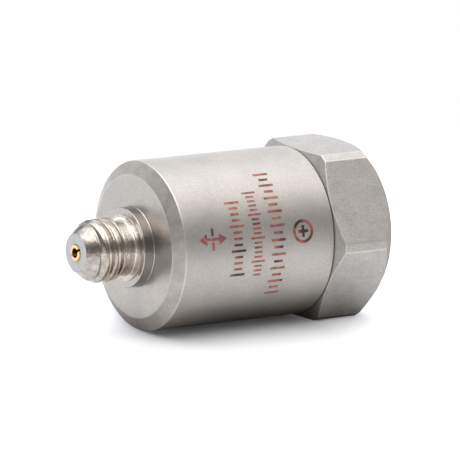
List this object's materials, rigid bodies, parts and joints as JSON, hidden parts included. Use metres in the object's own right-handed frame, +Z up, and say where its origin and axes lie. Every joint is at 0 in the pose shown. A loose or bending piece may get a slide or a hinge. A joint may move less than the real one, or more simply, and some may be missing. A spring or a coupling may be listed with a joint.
{
  "type": "accelerometer",
  "caption": "Cylindrical vibration sensor: hexagonal base tapped for a mounting stud, plain round housing and a small threaded coaxial socket on its end.",
  "frame": {"origin": "centre of the mounting hole's mouth, in the plane of the mounting face", "axes": "lying on a hex flat as in the picture: +Z up, the sensor's axis along X, +X out of the mounting face, -X out of the socket"},
  "size_m": [0.0248, 0.0146, 0.013],
  "materials": {
    "stainless_hex": "milled and bead-blasted stainless steel, matt",
    "stainless_housing": "turned and bead-blasted stainless steel, satin",
    "plated_socket": "turned and nickel-plated stainless steel, bright",
    "fluoropolymer": "pale fluoropolymer, matt",
    "gold_plate": "gold-plated beryllium copper",
    "seal_glass": "hermetic sealing glass",
    "piezo_ceramic": "poled piezoelectric ceramic, ground",
    "heavy_alloy": "sintered tungsten alloy, ground",
    "spring_steel": "hardened steel ring, turned",
    "moulded_polymer": "moulded high-temperature polymer",
    "board_laminate": "glass-epoxy board with green solder resist",
    "chip_black": "moulded epoxy",
    "resistor_ceramic": "overglazed alumina chip",
    "capacitor_ceramic": "layered ceramic chip",
    "tinned_wire": "tinned copper wire"
  },
  "bodies": {
    "root": {"hex_base": "stainless_hex", "housing_shell": "stainless_housing", "connector_shell": "plated_socket", "connector_insulator": "fluoropolymer", "contact_socket": "gold_plate", "feedthrough_pin": "gold_plate", "glass_seal": "seal_glass", "crystal_plate_1": "piezo_ceramic", "crystal_plate_2": "piezo_ceramic", "crystal_plate_3": "piezo_ceramic", "seismic_mass_1": "heavy_alloy", "seismic_mass_2": "heavy_alloy", "seismic_mass_3": "heavy_alloy", "preload_ring": "spring_steel", "insulating_sleeve": "moulded_polymer", "circuit_board": "board_laminate", "amplifier_chip": "chip_black", "bias_resistor": "resistor_ceramic", "gain_resistor": "resistor_ceramic", "input_capacitor": "capacitor_ceramic", "output_capacitor": "capacitor_ceramic", "signal_lead": "tinned_wire", "ground_lead": "gold_plate", "output_lead": "tinned_wire"}
  },
  "joints": []
}
